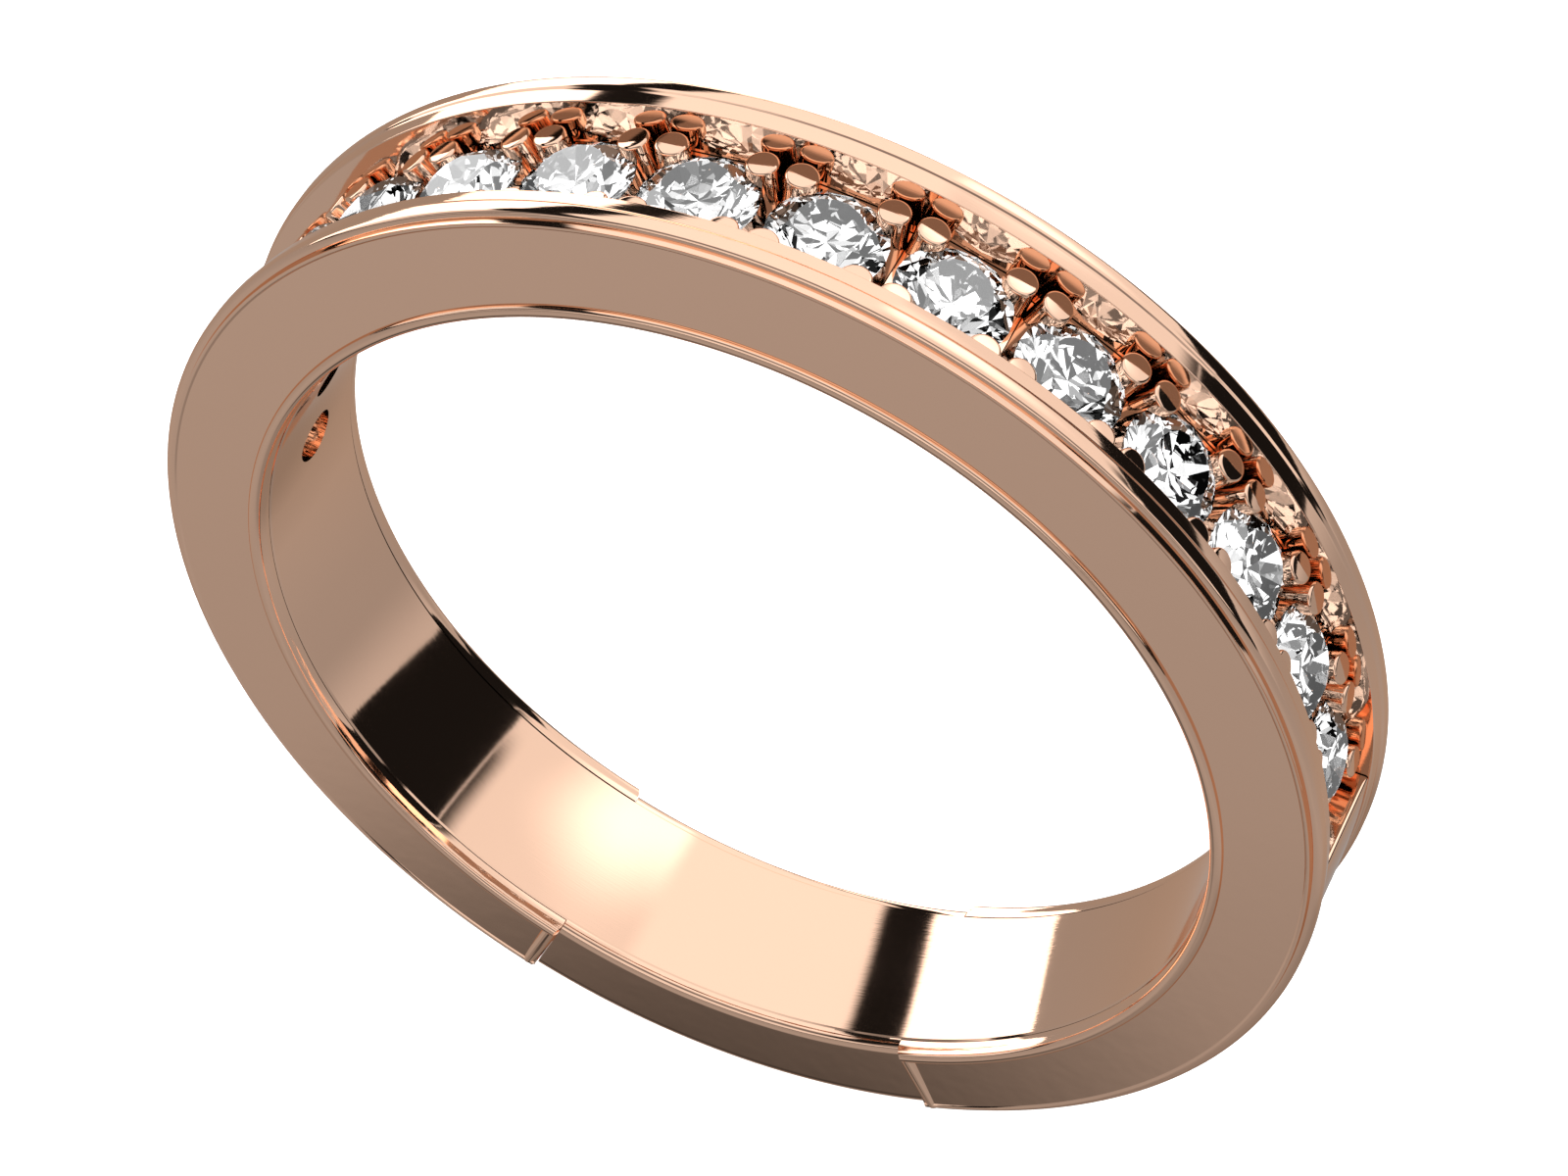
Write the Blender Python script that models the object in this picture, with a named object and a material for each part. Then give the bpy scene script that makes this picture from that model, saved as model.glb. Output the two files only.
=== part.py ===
"""Half eternity wedding band: a rose gold shank, two bordered side plates and
fourteen round stones, each in its own four-prong setting between the plates.

The finger hole's axis is Y and its centre is the origin. The stones are at +Z.
"""

import math

import bmesh
import bpy
from mathutils import Matrix, Vector

MM = 0.001

# Ring, in millimetres. Radii are from the middle of the finger hole.
FINGER_RADIUS = 8.65
FINGER_CROWN = 16.0        # the finger surface bulges inwards on this radius
STEP_RADIUS = 8.745        # inward faces beside the raised finger surface
CORE_RADIUS = 9.00         # floor of the channel that holds the settings
CORE_HALF_WIDTH = 1.51
SHANK_RADIUS = 10.50       # plain stretch between the ends of the plates
SHANK_HALF_WIDTH = 1.71
FILL_RADIUS = 10.545       # closed stretch of the channel
RISE = 0.224               # the outer circles sit this much higher: a thicker top
RISE_STARTS = 9.5          # radius past which a point belongs to the outer circles
ROUND_STEPS = 80
EDGE = 0.13                # rounding of the plain stretch, half of it at 45 degrees
ROUND_CUT = 0.29           # share of a rounding left by the cut across it

# Side plates: a flat panel inside a raised border.
PLATE_BORDER_FACE = 1.866
PLATE_BEAD_FACE = 1.80
PLATE_PANEL_FACE = 1.777
PLATE_RIM_FACE = 1.70
PANEL_INNER_RADIUS = 9.01
PANEL_OUTER_RADIUS = 10.35
PLATE_RIM_RADIUS = 10.653
PLATE_LAND_RADIUS = 10.565
PLATE_GAP_HALF_ANGLE = math.radians(22.6)
END_BORDER_ANGLE = math.radians(1.7)
CHANNEL_HALF_WIDTH = 1.10
CHANNEL_END_HEIGHT = 0.15  # the channel's end walls, just above the hole's middle

# Stones and settings. Heights are along a stone's own axis, from the origin.
STONE_COUNT = 14
STONE_PITCH = math.radians(12.5)
STONE_RADIUS = 1.0
GIRDLE_HEIGHT = 10.02
GIRDLE_THICKNESS = 0.05
TABLE_RADIUS = 0.56
CROWN_ANGLE = math.radians(34.5)
PAVILION_ANGLE = math.radians(40.75)
UPPER_GIRDLE_ANGLE = math.radians(40.5)
LOWER_GIRDLE_ANGLE = math.radians(42.2)
STAR_ANGLE = math.radians(21.0)
STAR_RADIUS = 0.552        # where a star facet meets the table
PRONG_RADIUS = 0.28
PRONG_TOP = 10.35
PRONG_SPACING = 0.785      # from the stone's axis, both ways
PRONG_EDGE = 0.04
PRONG_SIDES = 10
SEAT_TOP = 9.68
RAIL_TOP = 9.95            # low rails join the prongs along the plates
RAIL_WIDTH = 0.06
SEAT_HOLE_RADIUS = 0.62
AZURE_RADIUS = 0.50
HOLE_SIDES = 12
FIT = 0.02                 # gap between pieces that touch on the real ring

ROSE_GOLD = (0.93, 0.60, 0.44, 1.0)
DIAMOND = (0.95, 0.96, 0.98, 1.0)


def make_collection(name):
    collection = bpy.data.collections.new(name)
    bpy.context.scene.collection.children.link(collection)
    return collection


def make_material(name, colour, roughness, metallic):
    material = bpy.data.materials.new(name)
    material.use_nodes = True
    shader = material.node_tree.nodes["Principled BSDF"]
    shader.inputs["Base Color"].default_value = colour
    shader.inputs["Roughness"].default_value = roughness
    shader.inputs["Metallic"].default_value = metallic
    material.diffuse_color = colour
    return material


def make_object(name, bm, collection, material=None):
    """Turn a bmesh in millimetres into an object in metres."""
    bmesh.ops.recalc_face_normals(bm, faces=bm.faces[:])
    bmesh.ops.scale(bm, vec=(MM, MM, MM), verts=bm.verts[:])
    mesh = bpy.data.meshes.new(name)
    bm.to_mesh(mesh)
    bm.free()
    obj = bpy.data.objects.new(name, mesh)
    collection.objects.link(obj)
    if material is None:
        obj.hide_render = True
        obj.display_type = "WIRE"
    else:
        mesh.materials.append(material)
    return obj


def combine(obj, other, operation):
    modifier = obj.modifiers.new(other.name, "BOOLEAN")
    modifier.object = other
    modifier.operation = operation


def turned_ring(section):
    """Turn a closed section of (radius, y) points about Y. The points past
    RISE_STARTS go on circles whose centre is RISE above the finger hole's."""
    bm = bmesh.new()
    corners = [bm.verts.new((radius, y, 0)) for radius, y in section]
    edges = [bm.edges.new((a, b)) for a, b in zip(corners, corners[1:] + corners[:1])]
    bmesh.ops.spin(
        bm, geom=corners + edges, axis=(0, 1, 0), angle=math.tau,
        steps=ROUND_STEPS, use_merge=True,
    )
    for vert in bm.verts:
        if math.hypot(vert.co.x, vert.co.z) > RISE_STARTS:
            vert.co.z += RISE
    return bm


def wedge(half_angle, half_width, reach=14.0):
    """A three-sided prism along Y, opening downwards from the hole's middle."""
    bm = bmesh.new()
    side = reach * math.tan(half_angle)
    corners = [bm.verts.new(p) for p in ((0, 0, 0), (side, 0, -reach), (-side, 0, -reach))]
    face = bm.faces.new(corners)
    for vert in bm.verts:
        vert.co.y = -half_width
    moved = bmesh.ops.extrude_face_region(bm, geom=[face])["geom"]
    bmesh.ops.translate(
        bm, vec=(0, 2 * half_width, 0),
        verts=[item for item in moved if isinstance(item, bmesh.types.BMVert)],
    )
    return bm


def box(low, high):
    bm = bmesh.new()
    low, high = Vector(low), Vector(high)
    bmesh.ops.create_cube(bm, size=1, matrix=Matrix.LocRotScale((low + high) / 2, None, high - low))
    return bm


def turned_plug(section, sides):
    """Turn an open (radius, height) section about Z, both ends on the axis."""
    bm = bmesh.new()
    points = [bm.verts.new((radius, 0, height)) for radius, height in section]
    edges = [bm.edges.new(pair) for pair in zip(points, points[1:])]
    bmesh.ops.spin(
        bm, geom=points + edges, axis=(0, 0, 1), angle=math.tau, steps=sides, use_merge=True,
    )
    bmesh.ops.remove_doubles(bm, verts=bm.verts[:], dist=0.001)
    return bm


def stone_angles():
    """Tilt of each stone's axis from +Z, about Y, from the left end to the right."""
    first = -(STONE_COUNT - 1) / 2
    return [(first + index) * STONE_PITCH for index in range(STONE_COUNT)]


def build_shank(parts, cutters, material):
    """One casting: the finger sleeve, the closed stretch of the channel and the
    plain stretch at the bottom, with a round hole under each stone."""
    half = CORE_HALF_WIDTH
    sleeve = [
        (FINGER_RADIUS + y * y / (2 * FINGER_CROWN), y)
        for y in (half - 0.03, half / 2, 0, -half / 2, 0.03 - half)
    ] + [(STEP_RADIUS, -half), (CORE_RADIUS, -half), (CORE_RADIUS, half), (STEP_RADIUS, half)]
    shank = make_object("shank", turned_ring(sleeve), parts, material)

    inner, outer, half = STEP_RADIUS, SHANK_RADIUS, SHANK_HALF_WIDTH
    plain = []
    for side in (-1, 1):
        flank = [(inner, EDGE), (inner + EDGE * ROUND_CUT, EDGE * ROUND_CUT), (inner + EDGE, 0),
                 (outer - EDGE, 0), (outer - EDGE * ROUND_CUT, EDGE * ROUND_CUT), (outer, EDGE)]
        plain += [(radius, side * (half - depth)) for radius, depth in flank[::-side]]
    bottom = make_object("bottom_stretch", turned_ring(plain), cutters)
    between_plates = wedge(PLATE_GAP_HALF_ANGLE - FIT / PANEL_INNER_RADIUS, 2 * half)
    combine(bottom, make_object("between_plates", between_plates, cutters), "INTERSECT")
    combine(shank, bottom, "UNION")

    half = CHANNEL_HALF_WIDTH - FIT
    closed = [
        (CORE_RADIUS - 0.1, half), (CORE_RADIUS - 0.1, -half),
        (FILL_RADIUS, -half), (FILL_RADIUS, half),
    ]
    fill = make_object("channel_fill", turned_ring(closed), cutters)
    top = box((-14, -4, CHANNEL_END_HEIGHT), (14, 4, 14))
    combine(fill, make_object("open_channel", top, cutters), "DIFFERENCE")
    below = wedge(PLATE_GAP_HALF_ANGLE - 2 * FIT / PANEL_INNER_RADIUS, 4)
    combine(fill, make_object("below_plates", below, cutters), "DIFFERENCE")
    combine(shank, fill, "UNION")

    for number, tilt in enumerate(stone_angles(), 1):
        hole = bmesh.new()
        bmesh.ops.create_cone(
            hole, cap_ends=True, segments=HOLE_SIDES, radius1=AZURE_RADIUS,
            radius2=AZURE_RADIUS, depth=2, matrix=Matrix.Translation((0, 0, CORE_RADIUS)),
        )
        cutter = make_object(f"azure_{number:02d}", hole, cutters)
        cutter.rotation_euler.y = tilt
        combine(shank, cutter, "DIFFERENCE")


def build_plates(parts, cutters, material):
    """The C-shaped side plates: they wall the channel, and a raised border
    frames the flat panel on all four sides."""
    wall, face, bead = CHANNEL_HALF_WIDTH, PLATE_BORDER_FACE, PLATE_BEAD_FACE
    rim, land = PLATE_RIM_RADIUS, PLATE_LAND_RADIUS
    section = [
        (CORE_RADIUS + FIT, wall), (CORE_RADIUS + FIT, CORE_HALF_WIDTH + FIT),
        (STEP_RADIUS, CORE_HALF_WIDTH + FIT), (STEP_RADIUS, 1.60), (8.775, 1.733),
        (8.787, face - 0.05), (8.815, face - 0.012), (8.864, face), (8.923, face),
        (8.972, face - 0.012), (PANEL_INNER_RADIUS, face - 0.03),
        (PANEL_OUTER_RADIUS, bead), (10.43, bead - 0.02), (10.475, bead - 0.05),
        (10.498, PLATE_RIM_FACE), (rim - 0.09, PLATE_RIM_FACE),
        (rim - 0.026, PLATE_RIM_FACE - 0.026), (rim, PLATE_RIM_FACE - 0.09),
        (rim, 1.41), (land + 0.02, 1.39), (land, wall),
    ]
    recess = [
        (PANEL_INNER_RADIUS, PLATE_PANEL_FACE), (PANEL_OUTER_RADIUS, PLATE_PANEL_FACE),
        (PANEL_OUTER_RADIUS, 2.2), (PANEL_INNER_RADIUS, 2.2),
    ]
    gap = make_object("plate_gap", wedge(PLATE_GAP_HALF_ANGLE, 4), cutters)
    kept = make_object("end_borders", wedge(PLATE_GAP_HALF_ANGLE + END_BORDER_ANGLE, 4), cutters)
    for name, side in (("front_side_plate", -1), ("rear_side_plate", 1)):
        plate = make_object(name, turned_ring([(r, side * y) for r, y in section]), parts, material)
        cutter = turned_ring([(r, side * y) for r, y in recess])
        panel = make_object(name + "_panel", cutter, cutters)
        combine(panel, kept, "DIFFERENCE")
        combine(plate, gap, "DIFFERENCE")
        combine(plate, panel, "DIFFERENCE")


def build_settings(parts, cutters, material):
    """One setting for each stone: a seat with a hole for the stone's point and
    four round prongs, notched where they hold the stone's edge."""
    half = CHANNEL_HALF_WIDTH - FIT
    bottom = CORE_RADIUS + FIT
    seat = make_object(
        "setting_01", box((-2, -half, bottom), (2, half, SEAT_TOP)), parts, material)
    for number in range(4):
        side, end = (-1, 1)[number % 2], (-1, 1)[number // 2]
        prong = turned_plug(
            [(0, SEAT_TOP - 0.2), (PRONG_RADIUS, SEAT_TOP - 0.2),
             (PRONG_RADIUS, PRONG_TOP - PRONG_EDGE), (PRONG_RADIUS - PRONG_EDGE, PRONG_TOP),
             (0, PRONG_TOP)], PRONG_SIDES)
        bmesh.ops.translate(
            prong, vec=(side * PRONG_SPACING, end * PRONG_SPACING, 0), verts=prong.verts[:])
        combine(seat, make_object(f"prong_{number + 1}", prong, cutters), "UNION")

    for side in (-1, 1):
        outer, inner = side * half, side * (half - RAIL_WIDTH)
        rail = box((-PRONG_SPACING, min(outer, inner), SEAT_TOP - 0.1),
                   (PRONG_SPACING, max(outer, inner), RAIL_TOP))
        combine(seat, make_object(f"rail_{side}", rail, cutters), "UNION")

    share = wedge(STONE_PITCH / 2 - FIT / 2 / GIRDLE_HEIGHT, 4)
    bmesh.ops.rotate(share, matrix=Matrix.Rotation(math.pi, 3, "Y"), verts=share.verts[:])
    combine(seat, make_object("setting_share", share, cutters), "INTERSECT")

    edge = STONE_RADIUS + FIT
    girdle = GIRDLE_THICKNESS / 2 + FIT
    drop = (edge - SEAT_HOLE_RADIUS) * math.tan(PAVILION_ANGLE)
    rise = (edge - TABLE_RADIUS) * math.tan(CROWN_ANGLE)
    room = turned_plug(
        [(0, 8.5), (SEAT_HOLE_RADIUS, 8.5),
         (SEAT_HOLE_RADIUS, GIRDLE_HEIGHT - girdle - drop), (edge, GIRDLE_HEIGHT - girdle),
         (edge, GIRDLE_HEIGHT + girdle), (TABLE_RADIUS, GIRDLE_HEIGHT + girdle + rise),
         (TABLE_RADIUS, 11), (0, 11)], 2 * HOLE_SIDES)
    combine(seat, make_object("stone_room", room, cutters), "DIFFERENCE")
    place_copies(seat, "setting", parts)


def build_stones(parts, material):
    """Round brilliants, cut from a short cylinder one flat facet at a time."""
    bm = bmesh.new()
    bmesh.ops.create_cone(
        bm, cap_ends=True, segments=2 * HOLE_SIDES, radius1=STONE_RADIUS,
        radius2=STONE_RADIUS, depth=3,
    )
    crown_edge = GIRDLE_THICKNESS / 2
    crown_height = (STONE_RADIUS - TABLE_RADIUS) * math.tan(CROWN_ANGLE)
    table_height = crown_edge + crown_height
    # slope, number of facets, first facet's turn, and a (radius, height) on its plane
    girdle_drop = STONE_RADIUS * (1 - math.cos(math.pi / 16))
    facets = [
        (0.0, 1, 0.0, (0, table_height)),
        (CROWN_ANGLE, 8, 0.0, (STONE_RADIUS, crown_edge)),
        (UPPER_GIRDLE_ANGLE, 16, math.pi / 16, (STONE_RADIUS - girdle_drop, crown_edge)),
        (STAR_ANGLE, 8, math.pi / 8, (STAR_RADIUS, table_height)),
        (-PAVILION_ANGLE, 8, 0.0, (STONE_RADIUS, -crown_edge)),
        (-LOWER_GIRDLE_ANGLE, 16, math.pi / 16, (STONE_RADIUS - girdle_drop, -crown_edge)),
    ]
    for slope, count, turn, (radius, height) in facets:
        for index in range(count):
            angle = turn + index * math.tau / count
            outwards = Vector((math.cos(angle), math.sin(angle), 0))
            normal = outwards * math.sin(abs(slope))
            normal.z = math.copysign(math.cos(slope), slope)
            cut = bmesh.ops.bisect_plane(
                bm, geom=bm.verts[:] + bm.edges[:] + bm.faces[:], dist=1e-5,
                plane_co=outwards * radius + Vector((0, 0, height)),
                plane_no=normal, clear_outer=True,
            )
            rim = [item for item in cut["geom_cut"] if isinstance(item, bmesh.types.BMEdge)]
            bmesh.ops.contextual_create(bm, geom=rim)
    bmesh.ops.remove_doubles(bm, verts=bm.verts[:], dist=0.002)
    bmesh.ops.dissolve_limit(bm, angle_limit=math.radians(0.5), verts=bm.verts[:], edges=bm.edges[:])
    bmesh.ops.translate(bm, vec=(0, 0, GIRDLE_HEIGHT), verts=bm.verts[:])
    stone = make_object("stone_01", bm, parts, material)
    place_copies(stone, "stone", parts)


def place_copies(first, name, parts):
    """Apply the first piece's cuts, turn it to the left end of the row and copy
    it to the other places, all sharing one mesh."""
    bpy.context.view_layer.update()
    finished = first.evaluated_get(bpy.context.evaluated_depsgraph_get())
    first.data = bpy.data.meshes.new_from_object(finished)
    first.modifiers.clear()
    for number, tilt in enumerate(stone_angles(), 1):
        piece = first if number == 1 else first.copy()
        if number > 1:
            parts.objects.link(piece)
        piece.name = f"{name}_{number:02d}"
        piece.rotation_euler.y = tilt


def main():
    for obj in list(bpy.data.objects):
        bpy.data.objects.remove(obj, do_unlink=True)
    parts = make_collection("wedding_band")
    cutters = make_collection("cutters")
    gold = make_material("rose_gold", ROSE_GOLD, 0.08, 1.0)
    diamond = make_material("diamond", DIAMOND, 0.02, 0.0)
    build_shank(parts, cutters, gold)
    build_plates(parts, cutters, gold)
    build_settings(parts, cutters, gold)
    build_stones(parts, diamond)


main()
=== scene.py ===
"""A half eternity wedding band in polished rose gold: a shank, two bordered side
plates and fourteen round diamonds, each in its own four-prong setting."""

import math

import bmesh
import bpy
from mathutils import Matrix, Vector


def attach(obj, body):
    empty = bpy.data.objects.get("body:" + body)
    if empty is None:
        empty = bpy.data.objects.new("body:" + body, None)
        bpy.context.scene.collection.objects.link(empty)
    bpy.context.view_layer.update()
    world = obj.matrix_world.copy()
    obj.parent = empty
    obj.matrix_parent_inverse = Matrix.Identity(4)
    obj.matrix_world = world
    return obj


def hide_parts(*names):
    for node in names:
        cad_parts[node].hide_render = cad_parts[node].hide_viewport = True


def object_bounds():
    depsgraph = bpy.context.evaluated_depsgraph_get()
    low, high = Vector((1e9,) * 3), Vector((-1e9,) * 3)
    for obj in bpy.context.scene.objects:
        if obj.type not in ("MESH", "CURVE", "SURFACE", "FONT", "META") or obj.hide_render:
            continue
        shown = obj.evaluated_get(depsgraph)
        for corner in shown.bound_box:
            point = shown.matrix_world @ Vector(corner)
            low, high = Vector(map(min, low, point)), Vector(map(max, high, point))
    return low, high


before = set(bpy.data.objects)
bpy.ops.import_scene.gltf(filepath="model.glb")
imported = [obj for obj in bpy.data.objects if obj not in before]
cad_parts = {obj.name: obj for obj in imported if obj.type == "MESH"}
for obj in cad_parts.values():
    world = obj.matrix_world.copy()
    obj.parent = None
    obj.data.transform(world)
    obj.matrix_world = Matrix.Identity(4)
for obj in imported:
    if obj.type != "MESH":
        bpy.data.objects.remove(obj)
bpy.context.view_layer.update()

# ---------------------------------------------------------------- shank
# One casting in rose gold: the sleeve that touches the finger, the plain stretch
# at the bottom and the closed stretch of the channel. Each stone's light hole is
# drilled through the sleeve, and the whole casting is polished to a mirror.
MM = 0.001
TURNS = 240  # flats round the ring
WELD = 0.0005  # points closer than this become one
CUT_TOLERANCE = 0.0001
FINGER_RADIUS = 8.65
FINGER_CROWN = 16.0  # the finger hole bulges inwards on this radius, for comfort
CROWN_STATIONS = (1.48, 1.2, 0.9, 0.6, 0.3, 0, -0.3, -0.6, -0.9, -1.2, -1.48)
SLEEVE_OUTSIDE = 9.00
SLEEVE_HALF_WIDTH = 1.51
SLEEVE_CHAMFER = 0.1  # how far the sleeve's side stops short of the finger hole
STEP_RADIUS = 8.745  # inward face of the plain stretch, beside the sleeve
STEP_ROUND = 0.14
SHANK_RADIUS = 10.50
SHANK_ROUND = 0.13
SHANK_HALF_WIDTH = 1.71
ROUND_REACH = 0.2  # a corner this far inside each rounding keeps the side flat
OUTER_RISE = 0.224  # the outside circles sit higher than the finger hole
OUTER_START = 9.5  # corners beyond this radius belong to the outside circles
PLATE_GAP = math.radians(22.6)  # half the angle between the plates' ends
STRETCH_END = PLATE_GAP - 0.002  # the stretches meet just clear of the plates
FILL_SUNK = 0.05  # how deep the closed channel reaches into the sleeve
FILL_RADIUS = 10.55
FILL_HALF_WIDTH = 1.08
FILL_TOP = 0.15
FILL_ROUND = 0.07
LIGHT_HOLE_RADIUS = 0.50
LIGHT_HOLE_DEPTH = 2
STONE_COUNT = 14
STONE_PITCH = math.radians(12.5)
SHARP_ANGLE = math.radians(32)  # edges turning more than this stay sharp
ROSE_GOLD_COLOUR = (0.95, 0.62, 0.45)
ROSE_GOLD_EDGE_TINT = (0.975, 0.775, 0.634, 1.0)  # at grazing angles


def clear_selection():
    """Leave edit mode and deselect everything."""
    if bpy.context.object and bpy.context.object.mode != "OBJECT":
        bpy.ops.object.mode_set(mode="OBJECT")
    bpy.ops.object.select_all(action="DESELECT")


def pick(kind, wanted):
    """In edit mode, select what passes a test: a vertex by its place, an edge by
    its two ends, or a face by its middle and its normal, in millimetres."""
    bpy.ops.mesh.select_mode(type=kind)
    bpy.ops.mesh.select_all(action="DESELECT")
    mesh = bpy.context.edit_object.data
    bm = bmesh.from_edit_mesh(mesh)
    if kind == "VERT":
        chosen = [v for v in bm.verts if wanted(v.co / MM)]
    elif kind == "EDGE":
        chosen = [e for e in bm.edges if wanted(*(v.co / MM for v in e.verts))]
    else:
        chosen = [f for f in bm.faces if wanted(f.calc_center_median() / MM, f.normal)]
    for item in chosen:
        item.select_set(True)
    bm.select_flush_mode()
    bmesh.update_edit_mesh(mesh)


def draw_section(name, corners):
    """Draw a closed section corner by corner, fill it and round its corners.
    Each corner is (radius, y, rounding) in millimetres."""
    clear_selection()
    first_radius, first_y, _ = corners[0]
    bpy.ops.mesh.primitive_plane_add(
        size=0.1 * MM, location=(first_radius * MM, first_y * MM, 0))
    piece = bpy.context.object
    piece.name = piece.data.name = name
    bpy.ops.object.transform_apply(location=True, rotation=True, scale=True)
    bpy.ops.object.mode_set(mode="EDIT")
    bpy.ops.mesh.select_mode(type="VERT")
    bpy.ops.mesh.select_all(action="SELECT")
    bpy.ops.mesh.merge(type="CENTER")
    for (radius, y, _), (next_radius, next_y, _) in zip(corners, corners[1:]):
        bpy.ops.mesh.extrude_vertices_move(TRANSFORM_OT_translate={
            "value": ((next_radius - radius) * MM, (next_y - y) * MM, 0)})
    ends = [Vector((r, y, 0)) for r, y, _ in (corners[0], corners[-1])]
    pick("VERT", lambda co: min((co - end).length for end in ends) < 0.001)
    bpy.ops.mesh.edge_face_add()
    bpy.ops.mesh.select_all(action="SELECT")
    bpy.ops.mesh.edge_face_add()
    for radius, y, rounding in corners:
        if rounding:
            corner = Vector((radius, y, 0))
            pick("VERT", lambda co: (co - corner).length < 0.001)
            bpy.ops.mesh.bevel(offset=rounding * MM, segments=4, affect="VERTICES")
    return piece


def spin_section(steps, weld):
    """Turn the section in hand all the way round Y and weld it closed."""
    bpy.ops.mesh.select_mode(type="FACE")
    bpy.ops.mesh.select_all(action="SELECT")
    bpy.ops.mesh.delete(type="ONLY_FACE")
    bpy.ops.mesh.select_mode(type="EDGE")
    bpy.ops.mesh.select_all(action="SELECT")
    bpy.ops.mesh.spin(steps=steps, angle=math.tau, center=(0, 0, 0), axis=(0, 1, 0))
    bpy.ops.mesh.select_all(action="SELECT")
    bpy.ops.mesh.remove_doubles(threshold=weld * MM)
    bpy.ops.mesh.normals_make_consistent(inside=False)


def turn_section():
    """Turn the section in hand into a ring, then raise the outside circles."""
    spin_section(TURNS, WELD)
    pick("VERT", lambda co: math.hypot(co.x, co.z) > OUTER_START)
    bpy.ops.transform.translate(value=(0, 0, OUTER_RISE * MM))


def cut_lower(side, angle, keep_gap):
    """Cut the lower quarter on one side with a plane through the finger hole's
    axis, at an angle from straight down, and close the cut. keep_gap says
    whether the part between the two planes stays or goes."""
    pick("FACE", lambda co, normal: co.x * side > 0 and co.z < 0)
    towards_gap = (-side * math.cos(angle), 0, -math.sin(angle))
    bpy.ops.mesh.bisect(
        plane_co=(0, 0, 0), plane_no=towards_gap, use_fill=True,
        clear_outer=not keep_gap, clear_inner=keep_gap, threshold=CUT_TOLERANCE * MM)


def finish_mesh(piece):
    """Shade the roundings smooth while big faces stay flat and edges sharp."""
    clear_selection()
    bpy.context.view_layer.objects.active = piece
    piece.select_set(True)
    bpy.ops.object.shade_smooth_by_angle(angle=SHARP_ANGLE)
    weighted = piece.modifiers.new("flat faces stay flat", "WEIGHTED_NORMAL")
    weighted.keep_sharp = True
    bpy.ops.object.modifier_apply(modifier=weighted.name)


def join_by(piece, other, operation):
    """Apply a Boolean with another object, which is then removed."""
    clear_selection()
    bpy.context.view_layer.objects.active = piece
    piece.select_set(True)
    modifier = piece.modifiers.new(operation.lower(), "BOOLEAN")
    modifier.object = other
    modifier.operation = operation
    modifier.solver = "EXACT"
    bpy.ops.object.modifier_apply(modifier=modifier.name)
    bpy.data.objects.remove(other, do_unlink=True)


def add_node(nodes, kind, inputs):
    """Add a shader node and set its inputs by name."""
    node = nodes.new(kind)
    for name, value in inputs.items():
        node.inputs[name].default_value = value
    return node


def polished_rose_gold():
    """Mirror-polished 14 kt rose gold. The buffing wheel leaves a barely uneven
    gloss and faint hairlines, and the alloy's colour drifts very slightly."""
    material = bpy.data.materials.new("polished_rose_gold")
    material.use_nodes = True
    nodes, links = material.node_tree.nodes, material.node_tree.links
    shader = nodes["Principled BSDF"]
    shader.inputs["Metallic"].default_value = 1.0
    shader.inputs["Specular Tint"].default_value = ROSE_GOLD_EDGE_TINT
    place = nodes.new("ShaderNodeTexCoord")

    drift = add_node(nodes, "ShaderNodeTexNoise", {"Scale": 220.0, "Detail": 2.0})
    alloy = nodes.new("ShaderNodeValToRGB")
    for end, strength in zip(alloy.color_ramp.elements, (0.985, 1.012)):
        end.color = [strength * part for part in ROSE_GOLD_COLOUR] + [1]
    links.new(place.outputs["Object"], drift.inputs["Vector"])
    links.new(drift.outputs["Fac"], alloy.inputs["Fac"])
    links.new(alloy.outputs["Color"], shader.inputs["Base Color"])

    gloss = add_node(nodes, "ShaderNodeTexNoise", {"Scale": 900.0, "Detail": 3.0})
    roughness = add_node(nodes, "ShaderNodeMapRange", {"To Min": 0.035, "To Max": 0.075})
    links.new(place.outputs["Object"], gloss.inputs["Vector"])
    links.new(gloss.outputs["Fac"], roughness.inputs["Value"])
    links.new(roughness.outputs["Result"], shader.inputs["Roughness"])

    stretch = add_node(nodes, "ShaderNodeMapping", {"Scale": (1.0, 14.0, 1.0)})
    hairlines = add_node(nodes, "ShaderNodeTexNoise", {"Scale": 2600.0, "Detail": 1.0})
    buffing = add_node(nodes, "ShaderNodeBump", {"Strength": 0.05, "Distance": 0.00001})
    links.new(place.outputs["Object"], stretch.inputs["Vector"])
    links.new(stretch.outputs["Vector"], hairlines.inputs["Vector"])
    links.new(hairlines.outputs["Fac"], buffing.inputs["Height"])
    links.new(buffing.outputs["Normal"], shader.inputs["Normal"])
    return material


rose_gold = polished_rose_gold()

crown = [(FINGER_RADIUS + y * y / (2 * FINGER_CROWN), y, 0) for y in CROWN_STATIONS]
shank = draw_section("finger_sleeve", [
    (SLEEVE_OUTSIDE, -SLEEVE_HALF_WIDTH, 0), (SLEEVE_OUTSIDE, SLEEVE_HALF_WIDTH, 0),
    (FINGER_RADIUS + SLEEVE_CHAMFER, SLEEVE_HALF_WIDTH, 0), *crown,
    (FINGER_RADIUS + SLEEVE_CHAMFER, -SLEEVE_HALF_WIDTH, 0)])
turn_section()

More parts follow.
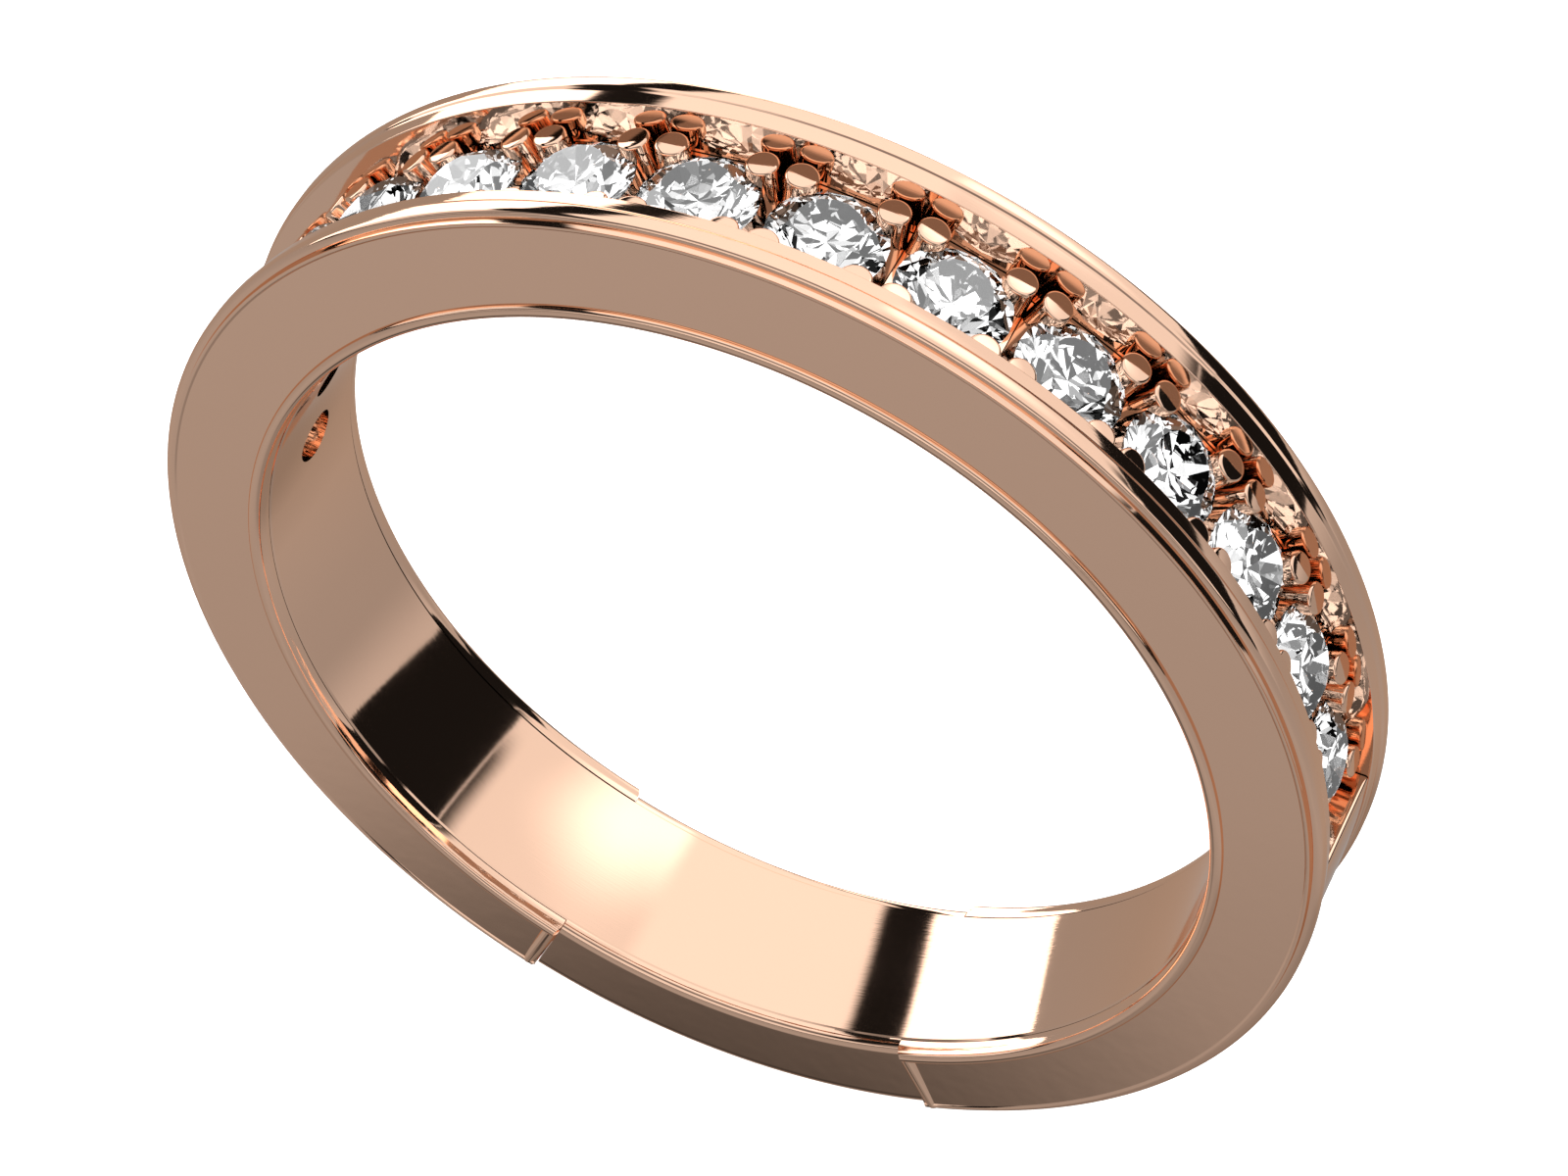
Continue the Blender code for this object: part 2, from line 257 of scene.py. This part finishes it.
flank = SHANK_HALF_WIDTH
bottom = draw_section("plain_stretch", [
    (STEP_RADIUS, -flank, STEP_ROUND), (STEP_RADIUS + ROUND_REACH, -flank, 0),
    (SHANK_RADIUS - ROUND_REACH, -flank, 0), (SHANK_RADIUS, -flank, SHANK_ROUND),
    (SHANK_RADIUS, flank, SHANK_ROUND), (SHANK_RADIUS - ROUND_REACH, flank, 0),
    (STEP_RADIUS + ROUND_REACH, flank, 0), (STEP_RADIUS, flank, STEP_ROUND)])
turn_section()
pick("FACE", lambda co, normal: co.z > 0)
bpy.ops.mesh.delete(type="FACE")
cut_lower(1, STRETCH_END, keep_gap=True)
cut_lower(-1, STRETCH_END, keep_gap=True)
join_by(shank, bottom, "UNION")

fill = draw_section("closed_channel", [
    (SLEEVE_OUTSIDE - FILL_SUNK, -FILL_HALF_WIDTH, 0), (FILL_RADIUS, -FILL_HALF_WIDTH, 0),
    (FILL_RADIUS, FILL_HALF_WIDTH, 0), (SLEEVE_OUTSIDE - FILL_SUNK, FILL_HALF_WIDTH, 0)])
turn_section()
pick("FACE", lambda co, normal: True)
bpy.ops.mesh.bisect(plane_co=(0, 0, FILL_TOP * MM), plane_no=(0, 0, 1), use_fill=True,
                    clear_outer=True, threshold=CUT_TOLERANCE * MM)
cut_lower(1, STRETCH_END, keep_gap=False)
cut_lower(-1, STRETCH_END, keep_gap=False)
pick("EDGE", lambda a, b: min(a.z, b.z) > FILL_TOP - 0.001 and abs(a.y - b.y) > 2
     and max(abs(a.x), abs(b.x)) > 10)
bpy.ops.mesh.bevel(offset=FILL_ROUND * MM, segments=4, affect="EDGES")
join_by(shank, fill, "UNION")

for number in range(STONE_COUNT):
    tilt = (number - (STONE_COUNT - 1) / 2) * STONE_PITCH
    clear_selection()
    bpy.ops.mesh.primitive_cylinder_add(
        vertices=40, radius=LIGHT_HOLE_RADIUS * MM, depth=LIGHT_HOLE_DEPTH * MM,
        location=(SLEEVE_OUTSIDE * MM * math.sin(tilt), 0,
                  SLEEVE_OUTSIDE * MM * math.cos(tilt)),
        rotation=(0, tilt, 0))
    join_by(shank, bpy.context.object, "DIFFERENCE")
finish_mesh(shank)
shank.name = "polished_shank"
shank.data.materials.clear()
shank.data.materials.append(rose_gold)
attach(shank, "root")
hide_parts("shank")

# ---------------------------------------------------------------- side plates
# Two C-shaped plates, soldered on, wall the channel and sit a hair proud of the
# shank. A rounded wire frames each plate's flat panel along the inside and across
# both ends, and a low bead and a thin stepped rim finish it along the outside.
CHANNEL_HALF_WIDTH = 1.10
PLATE_LAP = 0.02  # how far the plate stands clear of the sleeve's outside
PLATE_BACK = 1.53  # half-width where the plate steps over the sleeve
BORDER_INSIDE = 8.778
BORDER_ROUND = 0.087  # the inner border is a half-round wire
BORDER_FACE = 1.866
PANEL_FACE = 1.777
PANEL_INSIDE = 9.01
PANEL_OUTSIDE = 10.39
PANEL_CORNER = 0.03
BEAD_FACE = 1.80
BEAD_OUTSIDE = 10.466
RIM_FACE = 1.70
RIM_RADIUS = 10.653
LAND_RADIUS = 10.585  # the plate's outside beside the stones
END_WIRE_RADIUS = 0.15  # the border across each end is a wire of this radius
END_WIRE_ROUND = 0.11  # rounding of the wire's outer end
END_CHAMFER = math.radians(20.6)  # the end's front edge falls away under the wire
END_WIRE_MIDDLE = 9.645
END_WIRE_LENGTH = 1.43
PLATE_CORNERS = [
    # the back, and the inward step beside the sleeve
    (SLEEVE_OUTSIDE + PLATE_LAP, CHANNEL_HALF_WIDTH, 0),
    (SLEEVE_OUTSIDE + PLATE_LAP, PLATE_BACK, 0),
    (STEP_RADIUS, PLATE_BACK, 0), (STEP_RADIUS, 1.60, 0), (8.75, 1.67, 0), (8.775, 1.733, 0),
    # the inner border, and the flat panel
    (BORDER_INSIDE, BORDER_FACE, BORDER_ROUND), (PANEL_INSIDE, BORDER_FACE, BORDER_ROUND),
    (PANEL_INSIDE, PANEL_FACE, 0), (PANEL_INSIDE + PANEL_CORNER, PANEL_FACE, 0),
    (PANEL_OUTSIDE, PANEL_FACE, 0),
    # the bead, the rim, and the land beside the stones
    (PANEL_OUTSIDE + PANEL_CORNER, BEAD_FACE, 0.008), (BEAD_OUTSIDE, BEAD_FACE, 0.045),
    (10.498, RIM_FACE, 0), (RIM_RADIUS, RIM_FACE, 0.09), (RIM_RADIUS, 1.43, 0.025),
    (10.605, 1.37, 0.025), (LAND_RADIUS, CHANNEL_HALF_WIDTH, 0.02),
]

front_plate = draw_section("polished_front_plate", [(r, -y, e) for r, y, e in PLATE_CORNERS])
turn_section()
for side in (1, -1):
    cut_lower(side, PLATE_GAP, keep_gap=False)
    pick("FACE", lambda co, normal: co.x * side > 0 and co.z < 0)
    bpy.ops.mesh.bisect(
        plane_co=(0, -RIM_FACE * MM, 0), use_fill=True, clear_outer=True,
        threshold=CUT_TOLERANCE * MM,
        plane_no=(-side * math.cos(PLATE_GAP) * math.cos(END_CHAMFER), -math.sin(END_CHAMFER),
                  -math.sin(PLATE_GAP) * math.cos(END_CHAMFER)))

slope = math.atan2(BORDER_FACE - BEAD_FACE, PANEL_OUTSIDE - PANEL_INSIDE)
turned = PLATE_GAP + END_WIRE_RADIUS / END_WIRE_MIDDLE
for side in (1, -1):
    clear_selection()
    bpy.ops.mesh.primitive_cylinder_add(
        vertices=48, radius=END_WIRE_RADIUS * MM, depth=END_WIRE_LENGTH * MM,
        location=(side * END_WIRE_MIDDLE * MM * math.sin(turned),
                  (END_WIRE_RADIUS - (BORDER_FACE + BEAD_FACE) / 2) * MM,
                  -END_WIRE_MIDDLE * MM * math.cos(turned)),
        rotation=(-slope, math.pi - side * turned, 0))
    wire = bpy.context.object
    bpy.ops.object.mode_set(mode="EDIT")
    pick("EDGE", lambda a, b: min(a.z, b.z) > END_WIRE_LENGTH / 2 - 0.001)
    bpy.ops.mesh.bevel(offset=END_WIRE_ROUND * MM, segments=6, affect="EDGES")
    clear_selection()
    wire.select_set(True)
    bpy.ops.object.transform_apply(location=True, rotation=True, scale=True)
    join_by(front_plate, wire, "UNION")
finish_mesh(front_plate)
front_plate.data.materials.append(rose_gold)

clear_selection()
front_plate.select_set(True)
bpy.context.view_layer.objects.active = front_plate
bpy.ops.object.duplicate()
rear_plate = bpy.context.object
rear_plate.name = rear_plate.data.name = "polished_rear_plate"
bpy.ops.object.mode_set(mode="EDIT")
bpy.ops.mesh.select_all(action="SELECT")
bpy.ops.transform.resize(value=(1, -1, 1), center_override=(0, 0, 0))
bpy.ops.mesh.normals_make_consistent(inside=False)
finish_mesh(rear_plate)
for piece in (shank, front_plate, rear_plate):
    piece.visible_transmission = False
for plate, node in ((front_plate, "front_side_plate"), (rear_plate, "rear_side_plate")):
    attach(plate, "root")
    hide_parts(node)

# ---------------------------------------------------------------- settings
# Each stone has its own rose gold setting, set between the plates: a low seat with
# a hole for the stone's point, a rail along each plate, and four round prongs
# whose flat tops are filed off level. A notch in each prong grips the stone.
SEAT_BOTTOM = 9.02
SEAT_TOP = 9.68
SEAT_HALF_WIDTH = 1.08
SEAT_LENGTH = 2.4  # before both ends are trimmed to the neighbours
SEAT_GAP = 0.001  # angle left free at each end, in radians
PRONG_RADIUS = 0.28
PRONG_ROUND = 0.055
PRONG_TOP = 10.35
PRONG_ROOT = 0.2  # how deep a prong stands in the seat
PRONG_SPACING = 0.785
STONE_RADIUS = 1.0
GIRDLE_HEIGHT = 10.02
GIRDLE_THICKNESS = 0.05
TABLE_RADIUS = 0.56
CROWN_ANGLE = math.radians(34.5)
PAVILION_ANGLE = math.radians(40.75)
SEAT_HOLE_RADIUS = 0.62
STONE_ROOM = 0.005  # play between the stone and its setting
STONE_ROOM_BOTTOM, STONE_ROOM_TOP = 8.5, 11.0
NEAR_AXIS = 0.001  # a turned section starts this far from its axis
RAIL_TOP = 9.95  # a low rail joins the prongs along each plate
RAIL_MIDDLE = 1.05
RAIL_WIDTH = 0.06
RAIL_ROOT = 0.1  # how deep a rail stands in the seat


def block(width_x, width_y, bottom, top, middle_y=0):
    """Make a plain block, measured in millimetres."""
    clear_selection()
    bpy.ops.mesh.primitive_cube_add(
        size=1, location=(0, middle_y * MM, (bottom + top) / 2 * MM))
    bpy.ops.object.mode_set(mode="EDIT")
    bpy.ops.transform.resize(value=(width_x * MM, width_y * MM, (top - bottom) * MM))
    bpy.ops.object.mode_set(mode="OBJECT")
    bpy.ops.object.transform_apply(location=True, rotation=True, scale=True)
    return bpy.context.object


setting = block(SEAT_LENGTH, 2 * SEAT_HALF_WIDTH, SEAT_BOTTOM, SEAT_TOP)
bpy.ops.object.mode_set(mode="EDIT")
lean = STONE_PITCH / 2 - SEAT_GAP
for side in (-1, 1):
    bpy.ops.mesh.select_all(action="SELECT")
    bpy.ops.mesh.bisect(
        plane_co=(0, 0, 0), plane_no=(side * math.cos(lean), 0, -math.sin(lean)),
        use_fill=True, clear_outer=True, threshold=CUT_TOLERANCE * MM)
for side in (-1, 1):
    for end in (-1, 1):
        clear_selection()
        bpy.ops.mesh.primitive_cylinder_add(
            vertices=40, radius=PRONG_RADIUS * MM,
            depth=(PRONG_TOP - SEAT_TOP + PRONG_ROOT) * MM,
            location=(side * PRONG_SPACING * MM, end * PRONG_SPACING * MM,
                      (PRONG_TOP + SEAT_TOP - PRONG_ROOT) / 2 * MM))
        bpy.ops.object.transform_apply(location=True, rotation=True, scale=True)
        prong = bpy.context.object
        bpy.ops.object.mode_set(mode="EDIT")
        pick("EDGE", lambda a, b: min(a.z, b.z) > PRONG_TOP - 0.001)
        bpy.ops.mesh.bevel(offset=PRONG_ROUND * MM, segments=5, affect="EDGES")
        join_by(setting, prong, "UNION")
for end in (-1, 1):
    rail = block(2 * PRONG_SPACING, RAIL_WIDTH, SEAT_TOP - RAIL_ROOT, RAIL_TOP,
                 middle_y=end * RAIL_MIDDLE)
    join_by(setting, rail, "UNION")

edge, girdle = STONE_RADIUS + STONE_ROOM, GIRDLE_THICKNESS / 2 + STONE_ROOM
drop = (edge - SEAT_HOLE_RADIUS) * math.tan(PAVILION_ANGLE)
rise = (edge - TABLE_RADIUS) * math.tan(CROWN_ANGLE)
bearing = draw_section("stone_room", [
    (NEAR_AXIS, -STONE_ROOM_BOTTOM, 0), (SEAT_HOLE_RADIUS, -STONE_ROOM_BOTTOM, 0),
    (SEAT_HOLE_RADIUS, drop + girdle - GIRDLE_HEIGHT, 0),
    (edge, girdle - GIRDLE_HEIGHT, 0), (edge, -girdle - GIRDLE_HEIGHT, 0),
    (TABLE_RADIUS, -girdle - rise - GIRDLE_HEIGHT, 0), (TABLE_RADIUS, -STONE_ROOM_TOP, 0),
    (NEAR_AXIS, -STONE_ROOM_TOP, 0)])
spin_section(64, 3 * NEAR_AXIS)
clear_selection()
bearing.rotation_euler.x = -math.pi / 2
bearing.select_set(True)
bpy.ops.object.transform_apply(location=True, rotation=True, scale=True)
join_by(setting, bearing, "DIFFERENCE")
finish_mesh(setting)
setting.data.materials.clear()
setting.data.materials.append(rose_gold)

for number in range(1, STONE_COUNT + 1):
    clear_selection()
    setting.select_set(True)
    bpy.context.view_layer.objects.active = setting
    bpy.ops.object.duplicate()
    piece = bpy.context.object
    piece.name = piece.data.name = f"prong_setting_{number:02d}"
    tilt = (number - 1 - (STONE_COUNT - 1) / 2) * STONE_PITCH
    piece.rotation_euler.y = tilt
    bpy.ops.object.transform_apply(location=True, rotation=True, scale=True)
    piece.visible_transmission = False
    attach(piece, "root")
    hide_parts(f"setting_{number:02d}")
bpy.data.objects.remove(setting, do_unlink=True)

# ---------------------------------------------------------------- diamonds
# Fourteen round brilliants, 2 mm across, cut with flat facets and held by the
# prongs at the edge. The facets are polished, so each keeps its own flat shading.
DIAMOND_IOR = 2.42

diamond = bpy.data.materials.new("clear_diamond")
diamond.use_nodes = True
nodes, links = diamond.node_tree.nodes, diamond.node_tree.links
shader = nodes["Principled BSDF"]
shader.inputs["Base Color"].default_value = (1, 1, 1, 1)
shader.inputs["Transmission Weight"].default_value = 1.0
shader.inputs["IOR"].default_value = DIAMOND_IOR
place = nodes.new("ShaderNodeTexCoord")
polish = add_node(nodes, "ShaderNodeTexNoise", {"Scale": 3000.0})
gloss = add_node(nodes, "ShaderNodeMapRange", {"To Min": 0.0, "To Max": 0.004})
links.new(place.outputs["Object"], polish.inputs["Vector"])
links.new(polish.outputs["Fac"], gloss.inputs["Value"])
links.new(gloss.outputs["Result"], shader.inputs["Roughness"])
for number in range(1, STONE_COUNT + 1):
    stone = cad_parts[f"stone_{number:02d}"]
    stone.data.materials.clear()
    stone.data.materials.append(diamond)

# ---------------------------------------------------------------- studio
# A white floor under the ring, and a soft studio round it: a grey lower half, a
# bright ceiling, and black and white boards that give the metal its contrast.
FLOOR_SIZE = 4
LEVELS = [  # height on the backdrop, from -1 below to 1 above, and its grey
    (-0.83, 0.31), (-0.78, 0.40), (-0.70, 0.44), (-0.45, 0.40), (-0.10, 0.38), (-0.04, 0.38),
    (-0.03, 0.01), (0.05, 0.01), (0.06, 0.95), (0.45, 0.97), (0.8, 1.0),
]
BOTTOM_LEVEL = 0.28
PATCH_DIRECTION = (-0.24, -0.45, -0.86)  # a dark patch low on the front left
PATCH_LEVEL = 0.2
PATCH_FADE = (0.986, 0.999)  # cosine of the angle from its middle, at edge and core

clear_selection()
floor_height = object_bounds()[0].z
bpy.ops.mesh.primitive_plane_add(size=FLOOR_SIZE, location=(0, 0, floor_height))
floor = bpy.context.object
floor.name = "studio_floor"
pale = bpy.data.materials.new("pale_floor")
pale.use_nodes = True
paint = pale.node_tree.nodes["Principled BSDF"]
paint.inputs["Base Color"].default_value = (1, 1, 1, 1)
paint.inputs["Emission Color"].default_value = (1, 1, 1, 1)
paint.inputs["Emission Strength"].default_value = 1.0
floor.data.materials.append(pale)
floor.visible_glossy = False
floor.visible_transmission = False

world = bpy.data.worlds.new("studio")
bpy.context.scene.world = world
world.use_nodes = True
nodes, links = world.node_tree.nodes, world.node_tree.links
backdrop = nodes["Background"]
looking = nodes.new("ShaderNodeTexCoord")
parts = nodes.new("ShaderNodeSeparateXYZ")
links.new(looking.outputs["Generated"], parts.inputs["Vector"])
height = add_node(nodes, "ShaderNodeMapRange", {"From Min": -1.0})
links.new(parts.outputs["Z"], height.inputs["Value"])
ramp = nodes.new("ShaderNodeValToRGB")
links.new(height.outputs["Result"], ramp.inputs["Fac"])
ramp.color_ramp.elements.remove(ramp.color_ramp.elements[-1])
ramp.color_ramp.elements[0].color = (BOTTOM_LEVEL, BOTTOM_LEVEL, BOTTOM_LEVEL, 1)
for z, level in LEVELS:
    ramp.color_ramp.elements.new((z + 1) / 2).color = (level, level, level, 1)
light = ramp.outputs["Color"]
azimuth = nodes.new("ShaderNodeMath")
azimuth.operation = "ARCTAN2"
links.new(parts.outputs["X"], azimuth.inputs[0])
links.new(parts.outputs["Y"], azimuth.inputs[1])
roll = nodes.new("ShaderNodeMath")
roll.operation = "ARCTAN2"
links.new(parts.outputs["Z"], roll.inputs[0])
links.new(parts.outputs["X"], roll.inputs[1])


def product(first, second):
    """Multiply two node outputs."""
    both = nodes.new("ShaderNodeMath")
    both.operation = "MULTIPLY"
    links.new(first, both.inputs[0])
    links.new(second, both.inputs[1])
    return both.outputs["Value"]


def fade(value, start, stop, span=(0.0, 1.0)):
    """Go smoothly from one level to another while a value runs from start to stop."""
    smooth = add_node(nodes, "ShaderNodeMapRange", {
        "From Min": start, "From Max": stop, "To Min": span[0], "To Max": span[1]})
    smooth.interpolation_type = "SMOOTHSTEP"
    links.new(value, smooth.inputs["Value"])
    return smooth.outputs["Result"]


def blend(factor, first, second):
    """Mix two colours, each a node output or a grey level."""
    mix = nodes.new("ShaderNodeMix")
    mix.data_type = "RGBA"
    links.new(factor, mix.inputs["Factor"])
    for name, colour in (("A", first), ("B", second)):
        if isinstance(colour, (int, float)):
            mix.inputs[name].default_value = (colour, colour, colour, 1)
        else:
            links.new(colour, mix.inputs[name])
    return mix.outputs["Result"]


def board(behind, brightness, *limits):
    """A black or white board where every measure lies within its limits. Each
    limit is (measure, low, high, softness)."""
    mask = None
    for measure, low, high, soft in limits:
        inside = product(fade(measure, low - soft, low + soft),
                         fade(measure, high + soft, high - soft))
        mask = inside if mask is None else product(mask, inside)
    return blend(mask, behind, brightness)


turn_round = azimuth.outputs["Value"]  # from +Y towards +X
roll_round = roll.outputs["Value"]  # from +X over the top to -X
across, along, tall = parts.outputs["X"], parts.outputs["Y"], parts.outputs["Z"]
light = board(light, 0.62, (turn_round, 0.61, 1.4, 0.25), (tall, -0.16, 0.1, 0.14))
light = board(light, 2.0, (turn_round, -0.3, 0.7, 0.25), (tall, 0.58, 0.8, 0.1))
light = board(light, 0.05, (roll_round, 0.2, 0.55, 0.05), (along, 0.1, 0.62, 0.06))
light = board(light, 0.01, (roll_round, -0.06, 0.49, 0.005), (along, -0.2, 1.1, 0.03))
light = board(light, 0.9, (roll_round, 0.49, 0.498, 0.004), (along, 0.1, 0.9, 0.03))
light = board(light, 1.2, (roll_round, 1.4, 2.36, 0.05), (along, -0.3, 1.1, 0.05))
light = board(light, 0.25, (along, -0.78, -0.42, 0.06), (tall, 0.12, 1.1, 0.05))
light = board(light, 0.01, (roll_round, 2.32, 2.565, 0.03), (along, -0.75, 1.1, 0.03))
light = board(light, 2.5, (roll_round, 2.565, 3.12, 0.02), (along, 0.0, 1.1, 0.03))
light = board(light, 2.5, (across, -1.1, -0.3, 0.02), (along, 0.0, 1.1, 0.03),
              (tall, -0.03, 0.08, 0.003))
patch = nodes.new("ShaderNodeVectorMath")
patch.operation = "DOT_PRODUCT"
patch.inputs[1].default_value = PATCH_DIRECTION
links.new(looking.outputs["Generated"], patch.inputs[0])
light = blend(fade(patch.outputs["Value"], *PATCH_FADE, (1.0, PATCH_LEVEL)), 0, light)

# Only the light that comes out of the stones sees a wall of small black, grey and
# white panels, which is what makes the facets sparkle. The camera sees plain white.
panels = add_node(nodes, "ShaderNodeTexVoronoi", {"Scale": 3.0})
links.new(looking.outputs["Generated"], panels.inputs["Vector"])
shades = nodes.new("ShaderNodeValToRGB")
shades.color_ramp.interpolation = "CONSTANT"
shades.color_ramp.elements[0].color = (0.02, 0.02, 0.02, 1)
shades.color_ramp.elements[1].position = 0.78
shades.color_ramp.elements[1].color = (1.9, 1.9, 1.9, 1)
for position, level in ((0.24, 0.16), (0.4, 0.45), (0.58, 1.0)):
    shades.color_ramp.elements.new(position).color = (level, level, level, 1)
pick_one = nodes.new("ShaderNodeSeparateColor")
links.new(panels.outputs["Color"], pick_one.inputs["Color"])
links.new(pick_one.outputs["Red"], shades.inputs["Fac"])
path = nodes.new("ShaderNodeLightPath")
light = blend(path.outputs["Is Transmission Ray"], light, shades.outputs["Color"])
light = blend(path.outputs["Is Camera Ray"], light, 1)
links.new(light, backdrop.inputs["Color"])
bpy.context.scene.view_settings.view_transform = "Standard"

# ---------------------------------------------------------------- camera
# A long lens looks down at the ring from the front right.
CAMERA_TURN = math.radians(23.739)
CAMERA_TIP = math.radians(49.036)
CAMERA_AWAY, CAMERA_RIGHT, CAMERA_UP = 79.943, 0.339, 0.805
FOCAL_LENGTH = 106.93
SENSOR_WIDTH = 36

back = Vector((math.sin(CAMERA_TURN) * math.cos(CAMERA_TIP),
               -math.cos(CAMERA_TURN) * math.cos(CAMERA_TIP), math.sin(CAMERA_TIP)))
right = Vector((math.cos(CAMERA_TURN), math.sin(CAMERA_TURN), 0))
up = back.cross(right)
stand = (back * CAMERA_AWAY + right * CAMERA_RIGHT + up * CAMERA_UP) * MM
lens = bpy.data.cameras.new("camera")
lens.lens = FOCAL_LENGTH
lens.sensor_width = SENSOR_WIDTH
lens.clip_start, lens.clip_end = 0.001, 10
camera = bpy.data.objects.new("camera", lens)
bpy.context.scene.collection.objects.link(camera)
camera.matrix_world = (Matrix.Translation(stand)
                       @ Matrix((right, up, back)).transposed().to_4x4())
bpy.context.scene.camera = camera
